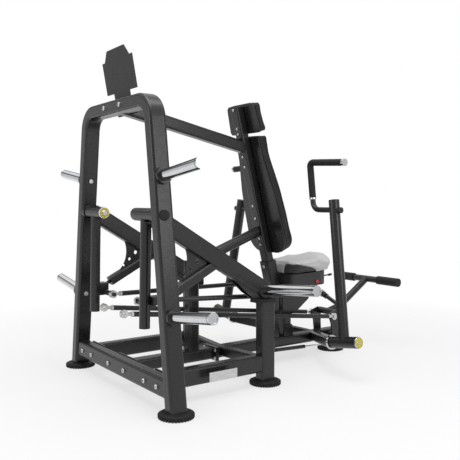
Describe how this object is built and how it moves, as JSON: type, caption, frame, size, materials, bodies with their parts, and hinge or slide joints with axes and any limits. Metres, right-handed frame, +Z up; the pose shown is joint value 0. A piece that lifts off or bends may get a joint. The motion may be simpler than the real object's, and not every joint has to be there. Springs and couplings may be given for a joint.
{
  "type": "chest press machine",
  "caption": "Plate-loaded seated chest press: welded steel frame, rear weight levers, linked press arms, push rods, foot bar, padded back and adjustable seat.",
  "frame": {"origin": "on the floor under the middle of the machine", "axes": "+X to the user's right, +Y forward from the rear arch to the foot bar, +Z up"},
  "size_m": [1.5414, 1.755, 1.5734],
  "materials": {
    "frame_paint": "fine textured black powder coat",
    "placard_plastic": "matte black sheet, blank",
    "chrome": "bright chrome plate",
    "rubber": "matte black rubber",
    "pad_leather": "black padded synthetic leather",
    "seat_leather": "grey padded synthetic leather",
    "dark_plastic": "dark grey moulded plastic",
    "red_plastic": "gloss red",
    "yellow_plastic": "gloss yellow"
  },
  "bodies": {
    "frame": {"rear_arch": "frame_paint", "storage_pegs": "chrome", "rear_crossbeam": "frame_paint", "right_side_rail": "frame_paint", "left_side_rail": "frame_paint", "lever_rest_pads": "rubber", "floor_braces": "frame_paint", "centre_beam_rear": "frame_paint", "centre_beam_front": "frame_paint", "rubber_feet": "rubber", "top_beam": "frame_paint", "back_column": "frame_paint", "centre_post": "frame_paint", "column_leg": "frame_paint", "pad_plates": "frame_paint", "headrest_pad": "pad_leather", "back_pad": "pad_leather", "placard": "placard_plastic", "pivot_shafts": "chrome", "right_front_wing": "frame_paint", "left_front_wing": "frame_paint", "seat_post": "frame_paint", "frame_bolts": "chrome"},
    "right_lever": {"right_weight_lever": "frame_paint", "right_lever_gusset": "frame_paint", "right_swing_arm": "frame_paint", "right_weight_peg": "chrome", "right_lever_hub_cap": "yellow_plastic"},
    "right_press": {"right_press_arm": "frame_paint", "right_press_hub_cap": "yellow_plastic", "right_press_handle": "frame_paint", "right_hand_grips": "rubber", "right_handle_trim": "chrome"},
    "right_upper_rod": {"right_upper_push_rod": "frame_paint", "right_upper_rod_ends": "chrome"},
    "right_lower_rod": {"right_lower_push_rod": "frame_paint", "right_lower_rod_ends": "chrome"},
    "left_lever": {"left_weight_lever": "frame_paint", "left_lever_gusset": "frame_paint", "left_swing_arm": "frame_paint", "left_weight_peg": "chrome", "left_lever_hub_cap": "yellow_plastic"},
    "left_press": {"left_press_arm": "frame_paint", "left_press_hub_cap": "yellow_plastic", "left_press_handle": "frame_paint", "left_hand_grips": "rubber", "left_handle_trim": "chrome"},
    "left_upper_rod": {"left_upper_push_rod": "frame_paint", "left_upper_rod_ends": "chrome"},
    "left_lower_rod": {"left_lower_push_rod": "frame_paint", "left_lower_rod_ends": "chrome"},
    "foot_bar": {"foot_lever": "frame_paint", "foot_grips": "rubber"},
    "strut_body": {"strut_cylinder": "dark_plastic"},
    "strut_piston": {"strut_rod": "chrome"},
    "seat": {"seat_carriage": "frame_paint", "seat_shell": "dark_plastic", "seat_pad": "seat_leather"},
    "seat_button": {"seat_release_button": "red_plastic"},
    "seat_handle": {"seat_release_lever": "frame_paint"}
  },
  "joints": [
    {"name": "right_lever_pivot", "type": "hinge", "parent": "frame", "child": "right_lever", "pos_m": [0.262, -0.8085, 0.819], "axis": [1, 0, 0], "range_deg": [0, 13]},
    {"name": "right_press_pivot", "type": "hinge", "parent": "frame", "child": "right_press", "pos_m": [0.505, 0.1485, 0.183], "axis": [-0.9863, 0, -0.165], "range_deg": [0, 21.3]},
    {"name": "right_upper_rod_pivot", "type": "hinge", "parent": "right_lever", "child": "right_upper_rod", "pos_m": [0.13, -0.7815, 0.425], "axis": [1, 0, 0], "range_deg": [-16.5, 0]},
    {"name": "right_lower_rod_pivot", "type": "hinge", "parent": "right_lever", "child": "right_lower_rod", "pos_m": [0.106, -0.8405, 0.369], "axis": [1, 0, 0], "range_deg": [-13.7, 0]},
    {"name": "left_lever_pivot", "type": "hinge", "parent": "frame", "child": "left_lever", "pos_m": [-0.262, -0.8085, 0.819], "axis": [1, 0, 0], "range_deg": [0, 13]},
    {"name": "left_press_pivot", "type": "hinge", "parent": "frame", "child": "left_press", "pos_m": [-0.505, 0.1485, 0.183], "axis": [-0.9863, 0, 0.165], "range_deg": [0, 21.3]},
    {"name": "left_upper_rod_pivot", "type": "hinge", "parent": "left_lever", "child": "left_upper_rod", "pos_m": [-0.13, -0.7815, 0.425], "axis": [1, 0, 0], "range_deg": [-16.5, 0]},
    {"name": "left_lower_rod_pivot", "type": "hinge", "parent": "left_lever", "child": "left_lower_rod", "pos_m": [-0.106, -0.8405, 0.369], "axis": [1, 0, 0], "range_deg": [-13.7, 0]},
    {"name": "foot_bar_pivot", "type": "hinge", "parent": "frame", "child": "foot_bar", "pos_m": [0, 0.5145, 0.088], "axis": [-1, 0, 0], "range_deg": [0, 44.8]},
    {"name": "strut_tilt", "type": "hinge", "parent": "frame", "child": "strut_body", "pos_m": [0.052, 0.0835, 0.066], "axis": [1, 0, 0], "range_deg": [0, 3.2]},
    {"name": "strut_stroke", "type": "slide", "parent": "strut_body", "child": "strut_piston", "axis": [0, 0.9993, -0.0382], "range_m": [-0.026, 0]},
    {"name": "seat_height", "type": "slide", "parent": "frame", "child": "seat", "axis": [0, 0, 1], "range_m": [-0.05, 0.03]},
    {"name": "seat_button_press", "type": "slide", "parent": "seat", "child": "seat_button", "axis": [-1, 0, 0], "range_m": [0, 0.003], "stiffness_N_per_m": 400},
    {"name": "seat_handle_lift", "type": "hinge", "parent": "seat", "child": "seat_handle", "pos_m": [0.06, 0.3745, 0.446], "axis": [1, 0, 0], "range_deg": [0, 10], "stiffness_Nm_per_rad": 0.8}
  ],
  "couplings": [
    {"joint": "right_press_pivot", "follows": "right_lever_pivot", "ratio": 1.6305},
    {"joint": "right_upper_rod_pivot", "follows": "right_lever_pivot", "ratio": -1.2528},
    {"joint": "right_lower_rod_pivot", "follows": "right_lever_pivot", "ratio": -1.0436},
    {"joint": "left_lever_pivot", "follows": "right_lever_pivot", "ratio": 1},
    {"joint": "left_press_pivot", "follows": "right_lever_pivot", "ratio": 1.6305},
    {"joint": "left_upper_rod_pivot", "follows": "right_lever_pivot", "ratio": -1.2528},
    {"joint": "left_lower_rod_pivot", "follows": "right_lever_pivot", "ratio": -1.0436},
    {"joint": "foot_bar_pivot", "follows": "right_lever_pivot", "ratio": 3.4345},
    {"joint": "strut_tilt", "follows": "right_lever_pivot", "ratio": 0.1859},
    {"joint": "strut_stroke", "follows": "right_lever_pivot", "m_per_rad": -0.10947}
  ]
}
